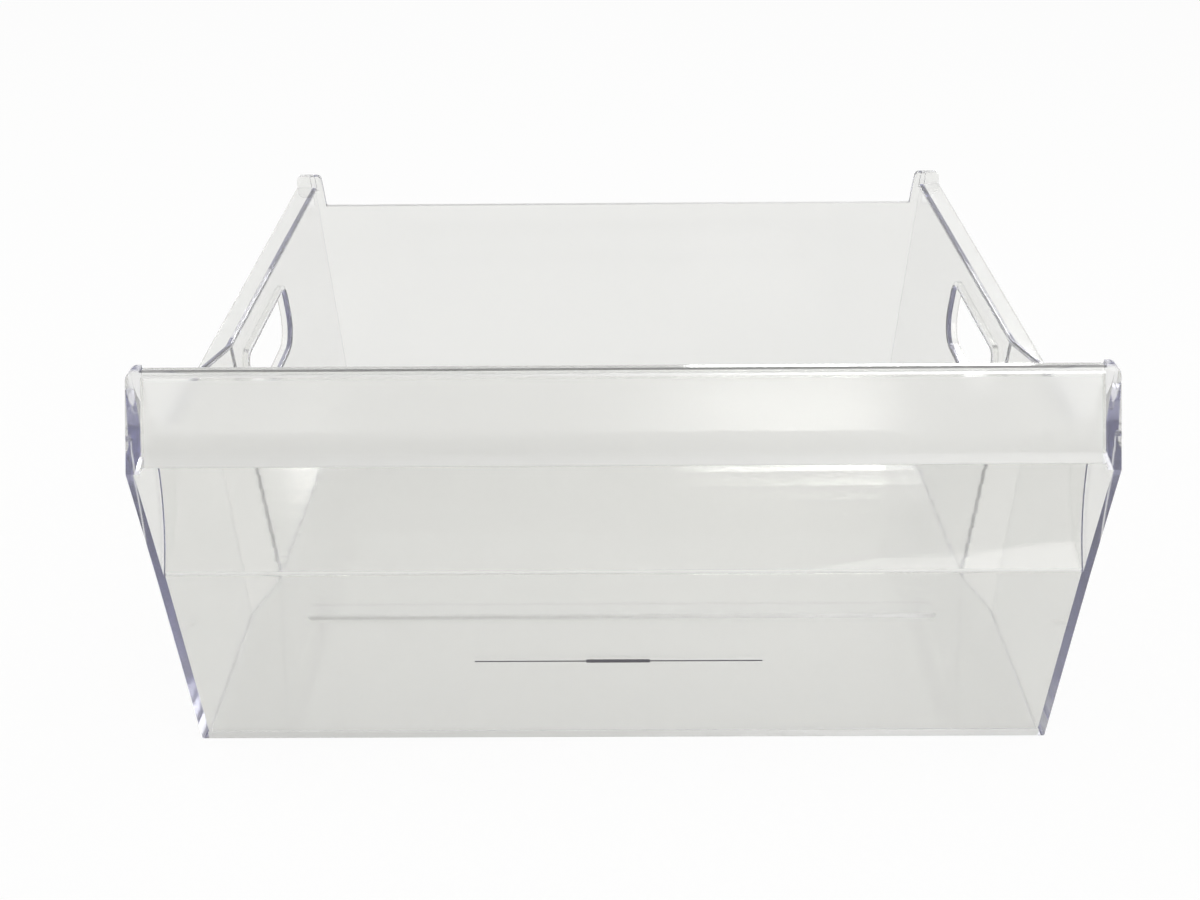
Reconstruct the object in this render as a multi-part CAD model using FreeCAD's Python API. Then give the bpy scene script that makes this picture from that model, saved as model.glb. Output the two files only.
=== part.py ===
import FreeCAD, Part
import math
import os

# Clear crisper drawer for a refrigerator, moulded in one piece. Millimetres, +Z up, front towards -Y.
# The origin is under the middle of the drawer, on the surface that it stands on.

# Overall sizes
overall_width = 430.0
overall_depth = 406.0
rim_height = 195.7
rail_height = 148.0
back_height = 134.5

# Wall thicknesses
side_wall = 3.5
front_wall = 3.0
floor_thickness = 3.0
rail_thickness = 3.0
rail_edge_radius = 1.4

# Mould drafts, in degrees
side_draft = 3.4
rear_side_draft = 4.2
rear_plan_taper = 0.5
back_draft = 1.6
front_draft = 4.0

# Side walls: a wide stretch at the front, a slanted jog, then a narrower stretch that tapers to the back
jog_width = 9.5
jog_run = 34.0
jog_end = 152.0
jog_bend_radius = 8.0
back_corner_radius = 5.5
floor_outer_radius = 1.5
floor_inner_radius = 1.0

# Front: a drafted lower panel, a concave finger scoop above its crease, and a band that leans back
crease_height = 100.6
lip_height = 158.4
scoop_depth = 32.0
scoop_radius = 90.0
scoop_corner_radius = 5.0
band_lean = 28.0
lip_radius = 0.6
rim_depth = 4.4
rim_drop = 4.0
rim_front_radius = 2.4
rim_back_radius = 0.6
front_bottom_radius = 1.0
crease_inner_radius = 1.5
front_foot_radius = 1.2

# Cheeks: the ends of the front, which stand a little proud of the band and above its rim
cheek_proud = 1.2
cheek_thickness = 6.0
cheek_drop = 2.0
cheek_rise = 1.1
cheek_back_run = 1.0
cheek_sweep_radius = 44.0
cheek_front_radius = 6.0
cheek_edge_radius = 5.0

# Ears at the back corners, which stop the drawer at the end of its runners
ear_height = 155.5
ear_width = 18.0
ear_top_width = 16.0
ear_corner_radius = 3.5
ear_foot_radius = 1.0

# Hand holes through the side walls, each with a collar outside
hole_length = 100.0
hole_height = 33.0
hole_start = 177.0
hole_below_rail = 20.0
hole_top_radius = 6.0
hole_bottom_radius = 17.0
hole_edge_radius = 1.2
collar_width = 3.0
collar_height = 3.0

# Stiffening bead across the floor
bead_length = 342.0
bead_width = 12.0
bead_height = 1.8
bead_start = 110.0
bead_end_radius = 2.0
bead_top_radius = 0.6

# Room that construction solids reach past the faces they cut or meet, and how near counts as the same place
reach = 20.0
near = 0.01

half_width = overall_width / 2
front_y = -overall_depth / 2
back_y = overall_depth / 2
side_slope = math.tan(math.radians(side_draft))
rear_side_slope = math.tan(math.radians(rear_side_draft))
rear_plan_slope = math.tan(math.radians(rear_plan_taper))
back_slope = math.tan(math.radians(back_draft))
front_slope = math.tan(math.radians(front_draft))
band_slope = math.tan(math.radians(band_lean))
cheek_corner_height = lip_height - cheek_drop
cheek_top = rim_height + cheek_rise
full_height = cheek_top + reach


def vec(x, y, z):
    return FreeCAD.Vector(x, y, z)


def wide_half(height):
    """Outer half-width of the front stretch at a height."""
    return half_width - (cheek_corner_height - height) * side_slope


def narrow_half(height):
    """Outer half-width of the stretch behind the jog at a height."""
    return wide_half(0) - jog_width + height * rear_side_slope


def outer_back(height):
    """Outer face of the back wall at a height; the ears' top edge is the rearmost line."""
    return back_y - (ear_height - height) * back_slope


def outline(height, inset, front):
    """Plan of the side and back walls at a height, moved inwards by inset and open to the front."""
    wide = wide_half(height)
    narrow = narrow_half(height)
    slant = math.hypot(jog_width, jog_run)
    shift = inset * (slant - jog_run) / jog_width
    jog_back = front_y + jog_end - shift
    jog_front = jog_back - jog_run * (wide - narrow) / jog_width
    rear = outer_back(height) - inset
    right = [
        vec(wide - inset, front, height),
        vec(wide - inset, jog_front, height),
        vec(narrow - inset, jog_back, height),
        vec(narrow - inset - (rear - jog_back) * rear_plan_slope, rear, height),
    ]
    left = [vec(-point.x, point.y, point.z) for point in reversed(right)]
    return right + left


def wall_block(low, inset, front):
    """Closed solid between the plan at a low height and the plan above everything."""
    lower = outline(low, inset, front)
    upper = outline(full_height, inset, front)
    rings = [lower[::-1], upper]
    for index in range(len(lower)):
        rings.append([lower[index - 1], lower[index], upper[index], upper[index - 1]])
    return Part.Solid(Part.Shell([Part.Face(Part.makePolygon(ring + ring[:1])) for ring in rings]))


def upright_edges(solid, low, inset, front, corner):
    """The two upright edges of a block at one corner of its outline, left and right."""
    ring = outline(low, inset, front)
    feet = [ring[corner], ring[len(ring) - 1 - corner]]
    found = []
    for edge in solid.Edges:
        ends = [vertex.Point for vertex in edge.Vertexes]
        tall = abs(ends[0].z - ends[-1].z) > rail_height
        if tall and any(foot.distanceToPoint(end) < near for foot in feet for end in ends):
            found.append(edge)
    return found


def rounded_block(low, inset, front, convex_radius, concave_radius, corner_radius, foot_radius):
    """Wall block with its jog bends, back corners and floor edge rounded."""
    solid = wall_block(low, inset, front)
    for corner, radius in ((1, convex_radius), (2, concave_radius), (3, corner_radius)):
        solid = solid.makeFillet(radius, upright_edges(solid, low, inset, front, corner))
    foot = []
    for edge in solid.Edges:
        box = edge.BoundBox
        if abs(box.ZMin - low) < near and abs(box.ZMax - low) < near and box.YMax > front + near:
            foot.append(edge)
    return solid.makeFillet(foot_radius, foot)


def prism(wire):
    """Solid across the whole width from a closed wire drawn in the plane x = -half_width - reach."""
    return Part.Face(wire).extrude(vec(overall_width + 2 * reach, 0, 0))


def at(set_back, height):
    """Point of a side profile, measured back from the foremost line of the front."""
    return vec(-half_width - reach, front_y + set_back, height)


def line(start, end):
    return Part.LineSegment(start, end).toShape()


def arc(start, middle, end):
    return Part.Arc(start, middle, end).toShape()


def circle_point(centre, radius, height):
    """Point at a height on the rear side of a circle in a side profile."""
    rise = height - centre.z
    return vec(centre.x, centre.y + math.sqrt(radius ** 2 - rise ** 2), height)


def long_edge(solid, point):
    """The edge along the width that passes through a point of the side profile."""
    for edge in solid.Edges:
        box = edge.BoundBox
        straight = box.YLength < near and box.ZLength < near
        if straight and abs(box.YMin - point.y) < near and abs(box.ZMin - point.z) < near:
            return edge
    raise ValueError("no edge there")


# Side profile of the front: the set-backs of its corners
crease_back = cheek_proud + (lip_height - crease_height) * front_slope
bottom_back = crease_back + crease_height * front_slope
band_foot_back = cheek_proud
band_top_back = band_foot_back + (rim_height - lip_height) * band_slope
band_depth = front_wall / math.cos(math.radians(band_lean))
panel_depth = front_wall / math.cos(math.radians(front_draft))
scoop_back_reach = scoop_radius - (scoop_depth - crease_back)
scoop_centre_height = crease_height + math.sqrt(scoop_radius ** 2 - scoop_back_reach ** 2)
scoop_centre = at(scoop_depth - scoop_radius, scoop_centre_height)
cheek_rear_back = band_top_back + rim_depth + cheek_back_run
sweep_end_back = cheek_rear_back + cheek_sweep_radius
ear_front_back = overall_depth - back_corner_radius


def side_silhouette():
    """Prism of the drawer's side view: cheek, sweep down to the rail, rail and ear."""
    cheek_lean_back = (cheek_top - cheek_corner_height) * band_slope
    sweep_top = rail_height + cheek_sweep_radius
    diagonal = cheek_sweep_radius * math.sqrt(0.5)
    rear = overall_depth + reach
    foot = at(bottom_back, 0)
    top_front = at(cheek_lean_back, cheek_top)
    top_rear = at(cheek_rear_back, cheek_top)
    solid = prism(Part.Wire([
        line(foot, at(crease_back, crease_height)),
        line(at(crease_back, crease_height), at(0, cheek_corner_height)),
        line(at(0, cheek_corner_height), top_front),
        line(top_front, top_rear),
        line(top_rear, at(cheek_rear_back, sweep_top)),
        arc(at(cheek_rear_back, sweep_top),
            at(sweep_end_back - diagonal, sweep_top - diagonal),
            at(sweep_end_back, rail_height)),
        line(at(sweep_end_back, rail_height), at(ear_front_back, rail_height)),
        line(at(ear_front_back, rail_height), at(ear_front_back, ear_height)),
        line(at(ear_front_back, ear_height), at(rear, ear_height)),
        line(at(rear, ear_height), at(rear, 0)),
        line(at(rear, 0), foot),
    ]))
    for corner, radius in ((foot, front_bottom_radius), (top_front, cheek_front_radius),
                           (top_rear, cheek_back_run)):
        solid = solid.makeFillet(radius, [long_edge(solid, corner)])
    return solid


def front_section():
    """Closed section of the front wall: lower panel, scoop, ledge and band, all one thickness."""
    ledge_top = lip_height + front_wall
    inner_radius = scoop_radius + front_wall
    foot = at(bottom_back, 0)
    crease = at(crease_back, crease_height)
    scoop_end = circle_point(scoop_centre, scoop_radius, lip_height)
    scoop_middle = circle_point(scoop_centre, scoop_radius, (crease_height + lip_height) / 2)
    band_foot = at(band_foot_back, lip_height)
    band_top = at(band_top_back, rim_height)
    rim_back = at(band_top_back + rim_depth, rim_height)
    rim_foot = at(band_top_back + rim_depth, rim_height - rim_drop)
    rim_root = at(band_top_back + band_depth - rim_drop * band_slope, rim_height - rim_drop)
    pocket_front = at(band_foot_back + front_wall * band_slope + band_depth, ledge_top)
    pocket_back = circle_point(scoop_centre, inner_radius, ledge_top)
    # The inside crease is where the lower panel's inner face meets the scoop's inner face
    slope_square = 1 + front_slope ** 2
    offset_back = scoop_centre.y - (front_y + bottom_back + panel_depth)
    along = scoop_centre.z - front_slope * offset_back
    gap = offset_back ** 2 + scoop_centre.z ** 2 - inner_radius ** 2
    inner_crease_height = (along - math.sqrt(along ** 2 - slope_square * gap)) / slope_square
    inner_crease = at(bottom_back + panel_depth - inner_crease_height * front_slope, inner_crease_height)
    inner_middle = circle_point(scoop_centre, inner_radius, (inner_crease_height + ledge_top) / 2)
    inner_foot = at(bottom_back + panel_depth - floor_thickness * front_slope, floor_thickness)
    toe_back = bottom_back + panel_depth + 2 * front_foot_radius
    return Part.Wire([
        line(foot, crease),
        arc(crease, scoop_middle, scoop_end),
        line(scoop_end, band_foot),
        line(band_foot, band_top),
        line(band_top, rim_back),
        line(rim_back, rim_foot),
        line(rim_foot, rim_root),
        line(rim_root, pocket_front),
        line(pocket_front, pocket_back),
        arc(pocket_back, inner_middle, inner_crease),
        line(inner_crease, inner_foot),
        line(inner_foot, at(toe_back, floor_thickness)),
        line(at(toe_back, floor_thickness), at(toe_back, 0)),
        line(at(toe_back, 0), foot),
    ]), {
        "scoop": scoop_end,
        "pocket": pocket_back,
        "lip": band_foot,
        "rim_front": band_top,
        "rim_back": rim_back,
        "rim_foot": rim_foot,
        "crease": inner_crease,
        "foot": inner_foot,
    }


def front_panel():
    """The front wall as a prism of its section, with the long corners rounded."""
    wire, corners = front_section()
    solid = prism(wire)
    for name, radius in (
        ("scoop", scoop_corner_radius),
        ("pocket", scoop_corner_radius + front_wall),
        ("lip", lip_radius),
        ("rim_front", rim_front_radius),
        ("rim_back", rim_back_radius),
        ("rim_foot", rim_back_radius),
        ("crease", crease_inner_radius),
        ("foot", front_foot_radius),
    ):
        solid = solid.makeFillet(radius, [long_edge(solid, corners[name])])
    return solid


def mirrored_pair(solid):
    """A solid on the right and its mirror image on the left."""
    return [solid, solid.mirror(vec(0, 0, 0), vec(1, 0, 0))]


def side_walls(outer, inner, envelope):
    """Floor and walls; along the rails the inside top edge of the side walls is rounded."""
    along_rails = Part.makeBox(overall_width, ear_front_back - sweep_end_back, rail_height,
                               vec(-half_width, front_y + sweep_end_back, 0))
    rounded = outer.common(along_rails).cut(inner)
    top_edges = []
    for edge in rounded.Edges:
        box = edge.BoundBox
        middle = edge.valueAt((edge.FirstParameter + edge.LastParameter) / 2)
        if box.ZMin > rail_height - near and box.YLength > near and inner.isInside(middle, near, True):
            top_edges.append(edge)
    rounded = rounded.makeFillet(rail_edge_radius, top_edges)
    return envelope.cut(inner).cut(along_rails).fuse(rounded)


def rail():
    """Right rail: a flat flange from the wall out to the drawer's full width."""
    low = rail_height - rail_thickness
    middle = outline(rail_height, side_wall / 2, front_y)[1:4]
    outer = wide_half(rail_height)
    rear = outer_back(rail_height)
    points = [vec(point.x, point.y, low) for point in middle]
    points += [vec(outer, rear - side_wall / 2, low), vec(outer, points[0].y, low)]
    return Part.Face(Part.makePolygon(points + points[:1])).extrude(vec(0, 0, rail_thickness))


def ear():
    """Right ear: an upright plate in line with the back wall, across the end of the rail."""
    outer = wide_half(rail_height)
    inner = outer - ear_width
    low = rail_height - rail_thickness
    low_back = outer_back(low)
    top_back = outer_back(ear_height)
    side = Part.makePolygon([
        vec(inner, low_back - side_wall, low), vec(inner, low_back, low), vec(inner, top_back, ear_height),
        vec(inner, top_back - side_wall, ear_height), vec(inner, low_back - side_wall, low),
    ])
    return Part.Face(side).extrude(vec(ear_width, 0, 0))


def back_cutter():
    """What is cut away above the back wall so that it ends in two round-cornered ears."""
    outer = wide_half(rail_height)
    inner = outer - ear_width
    lean = (ear_width - ear_top_width) / (ear_height - back_height)
    inner_top = inner + (full_height - back_height) * lean
    start = back_y - back_corner_radius
    depth = back_corner_radius + reach
    zone = Part.makeBox(overall_width, depth, full_height, vec(-half_width, start, back_height - reach))
    kept = Part.makeBox(2 * outer, depth, ear_height, vec(-outer, start, 0))
    gap = Part.Face(Part.makePolygon([
        vec(-inner, start, back_height), vec(inner, start, back_height), vec(inner_top, start, full_height),
        vec(-inner_top, start, full_height), vec(-inner, start, back_height),
    ])).extrude(vec(0, depth, 0))
    kept = kept.cut(gap)
    for height, radius in ((ear_height, ear_corner_radius), (back_height, ear_foot_radius)):
        corners = []
        for edge in kept.Edges:
            box = edge.BoundBox
            if box.YLength > depth / 2 and abs(box.ZMin - height) < near and box.ZLength < near:
                corners.append(edge)
        kept = kept.makeFillet(radius, corners)
    return zone.cut(kept)


def hole_profile(margin):
    """Hand hole seen from the side: flat top, round lower corners, grown by a margin."""
    start = front_y + hole_start - margin
    end = front_y + hole_start + hole_length + margin
    top = rail_height - hole_below_rail + margin
    bottom = top - hole_height - 2 * margin
    face = Part.Face(Part.makePolygon([
        vec(0, start, bottom), vec(0, end, bottom), vec(0, end, top), vec(0, start, top),
        vec(0, start, bottom),
    ]))
    solid = face.extrude(vec(half_width + reach, 0, 0))
    for height, radius in ((top, hole_top_radius), (bottom, hole_bottom_radius)):
        corners = []
        for edge in solid.Edges:
            box = edge.BoundBox
            if box.XLength > half_width and abs(box.ZMin - height) < near and box.ZLength < near:
                corners.append(edge)
        solid = solid.makeFillet(radius + margin, corners)
    return solid


def rounded_holes(tray):
    """The tray with the hand holes' edges on the inner face of the walls rounded."""
    inner_limit = narrow_half(rail_height) - side_wall
    hole = hole_profile(0).BoundBox
    edges = []
    for edge in tray.Edges:
        box = edge.BoundBox
        beside = box.YMin > hole.YMin - near and box.YMax < hole.YMax + near
        level = box.ZMin > hole.ZMin - near and box.ZMax < hole.ZMax + near
        if beside and level and max(abs(box.XMin), abs(box.XMax)) < inner_limit:
            edges.append(edge)
    return tray.makeFillet(hole_edge_radius, edges)


def collar(inner):
    """Right collar: a ring round the hand hole that stands out from the wall's outer face."""
    grown = wall_block(0, -collar_height, front_y)
    return grown.common(hole_profile(collar_width)).cut(inner)


def floor_bead():
    """Low rounded bead across the floor, which stiffens it."""
    bead = Part.makeBox(bead_length, bead_width, bead_height + floor_thickness / 2,
                        vec(-bead_length / 2, front_y + bead_start, floor_thickness / 2))
    upright = [edge for edge in bead.Edges if edge.BoundBox.ZLength > bead_height]
    bead = bead.makeFillet(bead_end_radius, upright)
    top = [edge for edge in bead.Edges if edge.BoundBox.ZMin > floor_thickness + bead_height - near]
    return bead.makeFillet(bead_top_radius, top)


def drawer_tray():
    """The whole moulding: walls and floor, front, rails, ears, hand holes and bead."""
    silhouette = side_silhouette()
    width_limit = Part.makeBox(overall_width, overall_depth + 2 * reach, cheek_top,
                               vec(-half_width, front_y - reach, 0))
    top_edges = []
    for edge in width_limit.Edges:
        if edge.BoundBox.ZMin > cheek_top - near and edge.BoundBox.YLength > overall_depth:
            top_edges.append(edge)
    width_limit = width_limit.makeFillet(cheek_edge_radius, top_edges)
    outer = rounded_block(0, 0, front_y - reach, jog_bend_radius, jog_bend_radius,
                          back_corner_radius, floor_outer_radius)
    inner = rounded_block(floor_thickness, side_wall, front_y - 2 * reach,
                          jog_bend_radius - side_wall, jog_bend_radius + side_wall,
                          back_corner_radius - side_wall, floor_inner_radius)
    envelope = outer.common(width_limit).common(silhouette)
    walls = side_walls(outer, inner, envelope)
    front = front_panel().common(envelope)
    cheek_zone = Part.makeBox(cheek_thickness, cheek_rear_back, full_height - cheek_corner_height,
                              vec(half_width - cheek_thickness, front_y, cheek_corner_height))
    cheeks = [zone.common(envelope) for zone in mirrored_pair(cheek_zone)]
    additions = [front, floor_bead()] + cheeks
    for piece in (rail(), ear(), collar(inner)):
        additions += mirrored_pair(piece)
    tray = walls.fuse(additions)
    tray = tray.cut([back_cutter()] + mirrored_pair(hole_profile(0)))
    return rounded_holes(tray.removeSplitter())


os.makedirs("parts", exist_ok=True)
tray = drawer_tray()
tray.exportStep("parts/drawer_tray.step")
box = tray.optimalBoundingBox()
print("solids", len(tray.Solids), "valid", tray.isValid(), "volume", round(tray.Volume))
print("box", [round(value, 2) for value in (box.XMin, box.XMax, box.YMin, box.YMax, box.ZMin, box.ZMax)])
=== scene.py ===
import math

import bmesh
import bpy
from mathutils import Euler, Matrix, Vector


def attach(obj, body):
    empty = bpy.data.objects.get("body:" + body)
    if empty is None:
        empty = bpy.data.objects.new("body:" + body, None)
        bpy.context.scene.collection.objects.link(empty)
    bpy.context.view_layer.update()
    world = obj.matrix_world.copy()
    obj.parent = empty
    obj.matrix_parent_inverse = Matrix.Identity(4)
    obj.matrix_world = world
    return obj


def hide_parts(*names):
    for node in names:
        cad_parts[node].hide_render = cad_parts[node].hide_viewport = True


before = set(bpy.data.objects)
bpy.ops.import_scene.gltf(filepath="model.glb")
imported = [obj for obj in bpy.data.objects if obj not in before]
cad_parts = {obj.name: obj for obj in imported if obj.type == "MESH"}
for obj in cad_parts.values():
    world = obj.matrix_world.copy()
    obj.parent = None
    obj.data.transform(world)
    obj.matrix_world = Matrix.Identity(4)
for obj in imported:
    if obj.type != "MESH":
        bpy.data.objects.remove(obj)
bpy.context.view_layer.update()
scene = bpy.context.scene

# The drawer: one injection moulding in clear polystyrene, with floor, walls, front, rails and ears.
# Its steel mould is polished but for the leaning band of the front, which is etched, so that the band
# comes out frosted and hides what lies behind it. Some edges and undersides are satin.
MILLIMETRE = 0.001
WELD_DISTANCE = 0.001 * MILLIMETRE
SHARP_ANGLE = math.radians(33)

# Where each finish and each painted edge shade begins and ends
FRONT_BACK = -150 * MILLIMETRE
BOTTOM_EDGE_TOP = 4.8 * MILLIMETRE
BOTTOM_EDGE_HALF_WIDTH = 202.5 * MILLIMETRE
UNDERSIDE_TOP = 1 * MILLIMETRE
BEAD_TOP = 6 * MILLIMETRE
CREASE_HEIGHT = 100.6 * MILLIMETRE
CREASE_LINE_TOP = 101.6 * MILLIMETRE
BACK_EDGE_FOOT = 134 * MILLIMETRE
BACK_EDGE_TOP = 135 * MILLIMETRE
RAIL_FOOT = 144 * MILLIMETRE
RAIL_TOP = 149 * MILLIMETRE
BAND_FOOT = 157.4 * MILLIMETRE
BAND_FOOT_TOP = 163 * MILLIMETRE
BAND_TOP = 192 * MILLIMETRE
BAND_HALF_WIDTH = 207 * MILLIMETRE
RIM_LINE_FOOT = 195.1 * MILLIMETRE
RIM_LINE_BACK = -180.5 * MILLIMETRE
RIM_LINE_HALF_WIDTH = 209.5 * MILLIMETRE

# Which way a face looks, by the parts of its normal
FORWARD = -0.3
DOWNWARD = -0.7
FLAT_DOWN = -0.99
FLAT_UP = 0.9

# How frosted each finish is: 0 is polished, 1 is the etched band, and 2 lets nothing through
BAND_FROST = 1.0
BAND_FOOT_FROST = 1.45
LEDGE_FROST = 1.0
RIM_FROST = 0.3
CREASE_FROST = 1.4
BOTTOM_EDGE_FROST = 1.8
BEAD_FROST = 1.2
BACK_EDGE_FROST = 1.0
UNDERSIDE_FROST = 0.65
RAIL_FROST = 0.5

# How much painted shade, a grey line where the edge looks dark, lies on the bottom edge; the rim's front
# edge has all of it
BOTTOM_EDGE_SHADE = 0.12


def frost_and_edge_shade_of(middle, facing):
    """How frosted the face here is, and how much painted edge shade, a grey line, it has."""
    forward = middle.y < FRONT_BACK and facing.y < FORWARD
    between_ends = abs(middle.x) < BAND_HALF_WIDTH
    on_band = between_ends and BAND_FOOT < middle.z < BAND_TOP
    on_rim = abs(middle.x) < RIM_LINE_HALF_WIDTH and middle.y < RIM_LINE_BACK and middle.z > RIM_LINE_FOOT
    # The rim's front edge gets the full painted shade: a grey line painted where the edge looks dark.
    if on_rim and facing.y < 0:
        return 0.0, 1.0
    if on_band and (forward or facing.z < DOWNWARD):
        return (BAND_FOOT_FROST if middle.z < BAND_FOOT_TOP else BAND_FROST), 0.0
    if on_band and facing.z > FLAT_UP:
        return LEDGE_FROST, 0.0
    if forward and between_ends and BAND_TOP < middle.z < RIM_LINE_FOOT:
        return RIM_FROST, 0.0
    if forward and between_ends and CREASE_HEIGHT < middle.z < CREASE_LINE_TOP:
        return CREASE_FROST, 0.0
    # The bottom edge gets a faint painted shade, a grey line that darkens the lamp's glint there.
    if forward and abs(middle.x) < BOTTOM_EDGE_HALF_WIDTH and middle.z < BOTTOM_EDGE_TOP:
        return BOTTOM_EDGE_FROST, BOTTOM_EDGE_SHADE
    if FRONT_BACK < middle.y < 0 and middle.z < BEAD_TOP and facing.y < FORWARD:
        return BEAD_FROST, 0.0
    if facing.z > FLAT_UP and BACK_EDGE_FOOT < middle.z < BACK_EDGE_TOP:
        return BACK_EDGE_FROST, 0.0
    if facing.z < FLAT_DOWN and middle.z < UNDERSIDE_TOP:
        return UNDERSIDE_FROST, 0.0
    if facing.z < FLAT_DOWN and RAIL_FOOT < middle.z < RAIL_TOP:
        return RAIL_FROST, 0.0
    return 0.0, 0.0


shell = bmesh.new()
shell.from_mesh(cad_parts["drawer_tray"].data)
bmesh.ops.remove_doubles(shell, verts=shell.verts, dist=WELD_DISTANCE)
borders = [((0, 0, height), (0, 0, 1))
           for height in (BOTTOM_EDGE_TOP, CREASE_LINE_TOP, BAND_FOOT_TOP, BAND_TOP)]
borders += [((side * half, 0, 0), (1, 0, 0)) for side in (-1, 1)
            for half in (BOTTOM_EDGE_HALF_WIDTH, BAND_HALF_WIDTH)]
for border, across in borders:
    front = [face for face in shell.faces
             if face.calc_center_median().y < FRONT_BACK and face.normal.y < FORWARD]
    parts = dict.fromkeys(part for face in front for part in (face, *face.edges, *face.verts))
    bmesh.ops.bisect_plane(shell, geom=list(parts), plane_co=border, plane_no=across)
for edge in shell.edges:
    edge.smooth = edge.calc_face_angle(0) < SHARP_ANGLE
for face in shell.faces:
    face.smooth = True
shell_mesh = bpy.data.meshes.new("drawer_shell")
shell.to_mesh(shell_mesh)
shell.free()
if "custom_normal" in shell_mesh.attributes:
    shell_mesh.attributes.remove(shell_mesh.attributes["custom_normal"])

frost = shell_mesh.attributes.new("frost", "FLOAT", "FACE")
# How much painted shade each face gets, as a grey line along the rim and bottom edges.
painted_edge_shade = shell_mesh.attributes.new("painted_edge_shade", "FLOAT", "FACE")
for face in shell_mesh.polygons:
    frosted, grey = frost_and_edge_shade_of(face.center, face.normal)
    frost.data[face.index].value = frosted
    painted_edge_shade.data[face.index].value = grey

draft = bpy.data.objects.new("drawer_draft", shell_mesh)
scene.collection.objects.link(draft)
evened = draft.modifiers.new("even_flats", "WEIGHTED_NORMAL")
evened.keep_sharp = True
depsgraph = bpy.context.evaluated_depsgraph_get()
drawer_mesh = bpy.data.meshes.new_from_object(draft.evaluated_get(depsgraph), depsgraph=depsgraph)
drawer = bpy.data.objects.new("drawer", drawer_mesh)
scene.collection.objects.link(drawer)
bpy.data.objects.remove(draft)


def linear(code):
    """An sRGB hex colour as linear RGBA."""
    parts = [int(code[at:at + 2], 16) / 255 for at in (1, 3, 5)]
    return [(c / 12.92 if c <= 0.04045 else ((c + 0.055) / 1.055) ** 2.4) for c in parts] + [1.0]


def add(tree, kind, values=None, links=None, **settings):
    """Add a node with its settings, its input values and the links into it."""
    node = tree.nodes.new(kind)
    for name, value in settings.items():
        setattr(node, name, value)
    for socket, value in (values or {}).items():
        node.inputs[socket].default_value = value
    for socket, source in (links or {}).items():
        tree.links.new(source, node.inputs[socket])
    return node


# Clear polystyrene from a polished mould: hard gloss, a high index, faint long ripples from the flow
# of the melt, a fine grain where it is frosted, painted shade as a dark grey line along the rim's front
# edge and a faint one along the bottom edge, and a faint violet toner that shows only where the eye
# looks along a wall and not through it.
CLEAR_BODY = "#f3f3f0"
# The grey of the painted shade along the rim's front edge and the bottom edge.
EDGE_SHADE_GREY = "#606060"
TONER = "#dadaea"
TONER_DENSITY = 17.0
SHADOW_TINT = "#f0f0f0"
REFRACTIVE_INDEX = 1.59
POLISHED_ROUGHNESS = 0.06
ETCHED_ROUGHNESS = 0.32
POLISHED_CLEARNESS = 0.97
MATT_CLEARNESS = 0.03
MATT_FROST = 2.0
GRAIN_SIZE = 0.9 * MILLIMETRE
GRAIN_DETAIL = 2.0
GRAIN_STRENGTH = 0.5
GRAIN_HEIGHT = 0.03 * MILLIMETRE
RIPPLE_SIZE = 60 * MILLIMETRE
RIPPLE_DETAIL = 1.0
RIPPLE_STRENGTH = 0.3
RIPPLE_HEIGHT = 0.15 * MILLIMETRE

polystyrene = bpy.data.materials.new("clear_polystyrene")
polystyrene.use_nodes = True
tree = polystyrene.node_tree
tree.nodes.clear()
place = add(tree, "ShaderNodeTexCoord")
etched = add(tree, "ShaderNodeAttribute", attribute_name="frost")
grain = add(tree, "ShaderNodeTexNoise", {"Scale": 1 / GRAIN_SIZE, "Detail": GRAIN_DETAIL},
            {"Vector": place.outputs["Object"]})
ripple = add(tree, "ShaderNodeTexNoise", {"Scale": 1 / RIPPLE_SIZE, "Detail": RIPPLE_DETAIL},
             {"Vector": place.outputs["Object"]})
roughness = add(tree, "ShaderNodeMapRange", {"To Min": POLISHED_ROUGHNESS, "To Max": ETCHED_ROUGHNESS},
                {"Value": etched.outputs["Fac"]})
clearness = add(tree, "ShaderNodeMapRange",
                {"From Max": MATT_FROST, "To Min": POLISHED_CLEARNESS, "To Max": MATT_CLEARNESS},
                {"Value": etched.outputs["Fac"]})
etched_grain = add(tree, "ShaderNodeMath", None,
                   {0: grain.outputs["Fac"], 1: etched.outputs["Fac"]}, operation="MULTIPLY")
grain_bump = add(tree, "ShaderNodeBump", {"Strength": GRAIN_STRENGTH, "Distance": GRAIN_HEIGHT},
                 {"Height": etched_grain.outputs["Value"]})
surface_bump = add(tree, "ShaderNodeBump", {"Strength": RIPPLE_STRENGTH, "Distance": RIPPLE_HEIGHT},
                   {"Height": ripple.outputs["Fac"], "Normal": grain_bump.outputs["Normal"]})
# Painted shade: faces along the rim and bottom edges are mixed toward a dark grey where the edges look dark.
edge_shade_amount = add(tree, "ShaderNodeAttribute", attribute_name="painted_edge_shade")
body = add(tree, "ShaderNodeMix", {"A": linear(CLEAR_BODY), "B": linear(EDGE_SHADE_GREY)},
           {"Factor": edge_shade_amount.outputs["Fac"]}, data_type="RGBA")
plastic = add(tree, "ShaderNodeBsdfPrincipled", {"IOR": REFRACTIVE_INDEX},
              {"Base Color": body.outputs["Result"], "Roughness": roughness.outputs["Result"],
               "Transmission Weight": clearness.outputs["Result"], "Normal": surface_bump.outputs["Normal"]})
passing = add(tree, "ShaderNodeBsdfTransparent", {"Color": linear(SHADOW_TINT)})
ray = add(tree, "ShaderNodeLightPath")
surface = add(tree, "ShaderNodeMixShader", None,
              {0: ray.outputs["Is Shadow Ray"], 1: plastic.outputs["BSDF"], 2: passing.outputs["BSDF"]})
toner = add(tree, "ShaderNodeVolumeAbsorption", {"Color": linear(TONER), "Density": TONER_DENSITY})
add(tree, "ShaderNodeOutputMaterial", None,
    {"Surface": surface.outputs["Shader"], "Volume": toner.outputs["Volume"]})
drawer_mesh.materials.append(polystyrene)
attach(drawer, "root")
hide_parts("drawer_tray")

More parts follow.
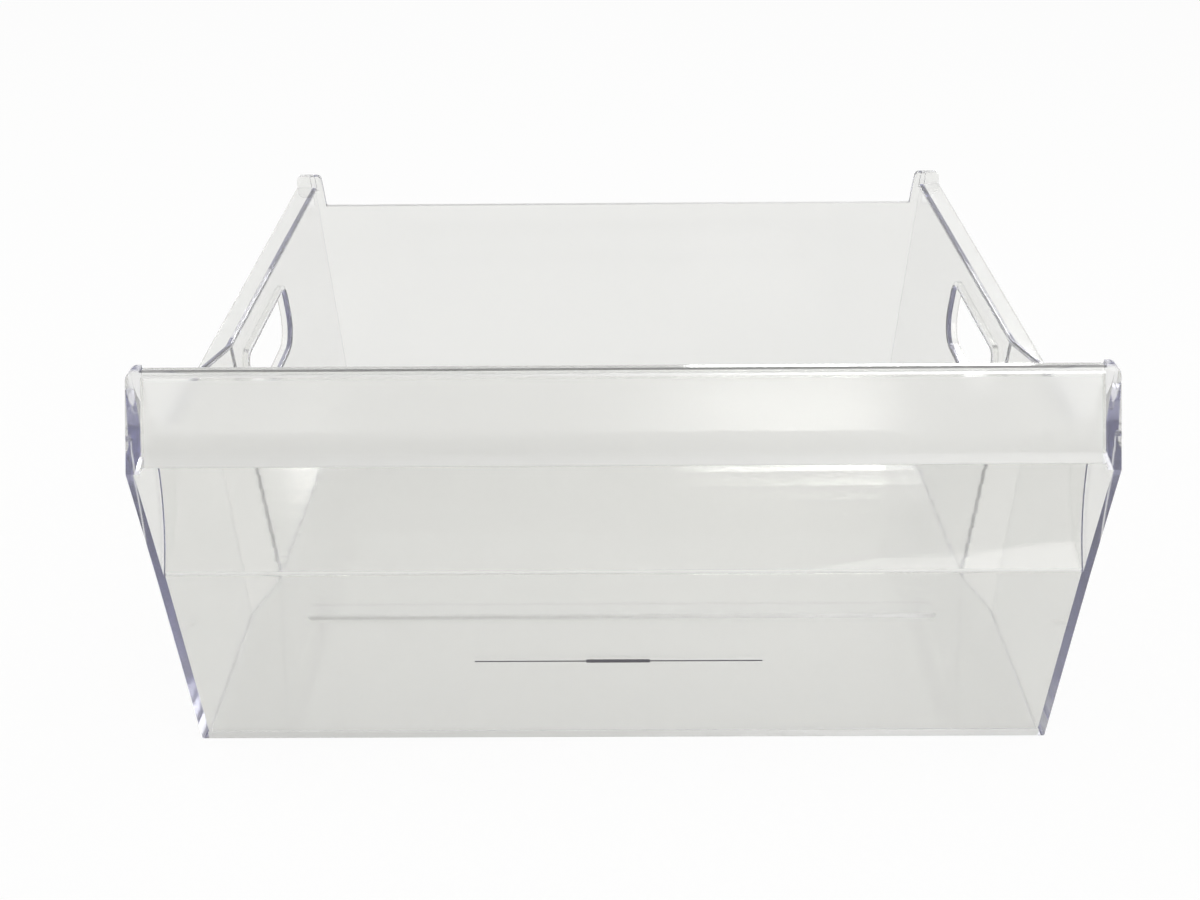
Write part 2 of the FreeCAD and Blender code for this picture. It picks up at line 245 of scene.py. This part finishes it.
# The rule on the lower panel: one fine grey line of ink with a broader stretch in its middle.
# It is pad printed on the outside of the wall, so it is a film a few hundredths of a millimetre thick.
RULE_HEIGHT = 49 * MILLIMETRE
LINE_LEFT = -69.6 * MILLIMETRE
LINE_RIGHT = 66 * MILLIMETRE
LINE_HALF = 0.35 * MILLIMETRE
BAR_LEFT = -17 * MILLIMETRE
BAR_RIGHT = 13 * MILLIMETRE
BAR_HALF = 1.0 * MILLIMETRE
INK_GAP = 0.01 * MILLIMETRE
INK_FILM = 0.04 * MILLIMETRE
CREASE_FRONT = -197.76 * MILLIMETRE
PANEL_DRAFT = math.radians(4)

upper = [(LINE_LEFT, LINE_HALF), (BAR_LEFT, LINE_HALF), (BAR_LEFT, BAR_HALF),
         (BAR_RIGHT, BAR_HALF), (BAR_RIGHT, LINE_HALF), (LINE_RIGHT, LINE_HALF)]
lower = [(across, -rise) for across, rise in reversed(upper)]
outward = Vector((0, -math.cos(PANEL_DRAFT), -math.sin(PANEL_DRAFT)))
ink = bmesh.new()
corners = []
for across, rise in upper + lower:
    height = RULE_HEIGHT + rise
    wall = Vector((across, CREASE_FRONT + (CREASE_HEIGHT - height) * math.tan(PANEL_DRAFT), height))
    corners.append(ink.verts.new(wall + outward * INK_GAP))
film = bmesh.ops.extrude_face_region(ink, geom=[ink.faces.new(corners)])
raised = [part for part in film["geom"] if isinstance(part, bmesh.types.BMVert)]
bmesh.ops.translate(ink, verts=raised, vec=outward * INK_FILM)
bmesh.ops.recalc_face_normals(ink, faces=ink.faces)
rule_mesh = bpy.data.meshes.new("panel_rule")
ink.to_mesh(rule_mesh)
ink.free()
rule = bpy.data.objects.new("panel_rule", rule_mesh)
scene.collection.objects.link(rule)

# Grey printing ink, dry and dull beside the gloss of the plastic, with the fine mottle that the
# soft pad leaves where it lays the ink down thicker or thinner.
THICK_INK = "#504e54"
THIN_INK = "#68666c"
THICK_INK_ROUGHNESS = 0.45
THIN_INK_ROUGHNESS = 0.65
MOTTLE_SIZE = 0.4 * MILLIMETRE
MOTTLE_DETAIL = 2.0

printing_ink = bpy.data.materials.new("grey_printing_ink")
printing_ink.use_nodes = True
tree = printing_ink.node_tree
tree.nodes.clear()
place = add(tree, "ShaderNodeTexCoord")
mottle = add(tree, "ShaderNodeTexNoise", {"Scale": 1 / MOTTLE_SIZE, "Detail": MOTTLE_DETAIL},
             {"Vector": place.outputs["Object"]})
shade = add(tree, "ShaderNodeMix", {"A": linear(THICK_INK), "B": linear(THIN_INK)},
            {"Factor": mottle.outputs["Fac"]}, data_type="RGBA")
dullness = add(tree, "ShaderNodeMapRange", {"To Min": THICK_INK_ROUGHNESS, "To Max": THIN_INK_ROUGHNESS},
               {"Value": mottle.outputs["Fac"]})
dry_film = add(tree, "ShaderNodeBsdfPrincipled", None,
               {"Base Color": shade.outputs["Result"], "Roughness": dullness.outputs["Result"]})
add(tree, "ShaderNodeOutputMaterial", None, {"Surface": dry_film.outputs["BSDF"]})
rule_mesh.materials.append(printing_ink)
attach(rule, "root")

# The studio: a pale paper floor that fills the view, a white surround, two large soft lamps above,
# and a far one behind that the drawer's floor mirrors into the frosted band.
WHITE = (1, 1, 1, 1)
PAPER = "#f0f0ee"
PAPER_GLOW = 0.9
PAPER_REACH = 6.0
PAPER_DROP = 0.5 * MILLIMETRE
SURROUND_LIGHT = 0.62
SURROUND_SEEN = 1.0
LAMP_AIM = Vector((0, 0, 0.08))


def seen_directly(tree):
    """The output that is 1 for what the eye sees straight, mirrored or through clear plastic, else 0."""
    ray = add(tree, "ShaderNodeLightPath")
    mirrored = add(tree, "ShaderNodeMath", None,
                   {0: ray.outputs["Is Camera Ray"], 1: ray.outputs["Is Glossy Ray"]}, operation="MAXIMUM")
    through = add(tree, "ShaderNodeMath", None,
                  {0: mirrored.outputs["Value"], 1: ray.outputs["Is Transmission Ray"]}, operation="MAXIMUM")
    return through.outputs["Value"]


floor_mesh = bpy.data.meshes.new("floor")
floor_corners = [(-PAPER_REACH, -PAPER_REACH, 0), (PAPER_REACH, -PAPER_REACH, 0),
                 (PAPER_REACH, PAPER_REACH, 0), (-PAPER_REACH, PAPER_REACH, 0)]
floor_mesh.from_pydata(floor_corners, [], [(0, 1, 2, 3)])
floor = bpy.data.objects.new("floor", floor_mesh)
floor.location.z = -PAPER_DROP
scene.collection.objects.link(floor)

# White paper, matt, and overexposed to white wherever it is seen, but for the object's soft shadow.
paper = bpy.data.materials.new("white_paper")
paper.use_nodes = True
tree = paper.node_tree
tree.nodes.clear()
matt = add(tree, "ShaderNodeBsdfDiffuse", {"Color": linear(PAPER)})
glow = add(tree, "ShaderNodeEmission", {"Color": WHITE, "Strength": 1.0})
share = add(tree, "ShaderNodeMath", {1: PAPER_GLOW}, {0: seen_directly(tree)}, operation="MULTIPLY")
exposed = add(tree, "ShaderNodeMixShader", None,
              {0: share.outputs["Value"], 1: matt.outputs["BSDF"], 2: glow.outputs["Emission"]})
add(tree, "ShaderNodeOutputMaterial", None, {"Surface": exposed.outputs["Shader"]})
floor_mesh.materials.append(paper)

world = bpy.data.worlds.new("studio")
world.use_nodes = True
tree = world.node_tree
tree.nodes.clear()
level = add(tree, "ShaderNodeMapRange", {"To Min": SURROUND_LIGHT, "To Max": SURROUND_SEEN},
            {"Value": seen_directly(tree)})
surround = add(tree, "ShaderNodeBackground", {"Color": WHITE}, {"Strength": level.outputs["Result"]})
add(tree, "ShaderNodeOutputWorld", None, {"Surface": surround.outputs["Background"]})
scene.world = world

# Each lamp has its name, its place, its width and height in metres, and its power in watts.
lamps = (("key", (0.9, -0.6, 2.0), (2.2, 2.2), 20),
         ("fill", (-1.4, 0.2, 1.8), (2.0, 2.0), 10),
         ("back", (2.3, 12.0, 6.2), (3.2, 0.75), 80))
for name, spot, size, power in lamps:
    lamp = bpy.data.lights.new(name, "AREA")
    lamp.shape = "RECTANGLE"
    lamp.size, lamp.size_y = size
    lamp.energy = power
    softbox = bpy.data.objects.new(name, lamp)
    softbox.location = spot
    softbox.rotation_euler = (LAMP_AIM - Vector(spot)).to_track_quat("-Z", "Y").to_euler()
    scene.collection.objects.link(softbox)

# The camera stands in front of the drawer and above it, and looks down into it.
SENSOR_WIDTH = 36
FOCAL_LENGTH = 45
CAMERA_PLACE = (-0.0041, -0.7655, 0.4776)
CAMERA_HEADING = math.radians(0.55)
CAMERA_DOWN = math.radians(28.868)
CAMERA_TILT = math.radians(-0.559)
LIGHT_BOUNCES = 96

lens = bpy.data.cameras.new("camera")
lens.sensor_width = SENSOR_WIDTH
lens.lens = FOCAL_LENGTH
camera = bpy.data.objects.new("camera", lens)
aim = Euler((math.pi / 2 - CAMERA_DOWN, 0, CAMERA_HEADING)).to_matrix()
camera.location = CAMERA_PLACE
camera.rotation_euler = (aim @ Matrix.Rotation(CAMERA_TILT, 3, "Z")).to_euler()
scene.collection.objects.link(camera)
scene.camera = camera
scene.view_settings.view_transform = "Standard"
scene.cycles.max_bounces = LIGHT_BOUNCES
scene.cycles.transmission_bounces = LIGHT_BOUNCES
scene.cycles.glossy_bounces = LIGHT_BOUNCES
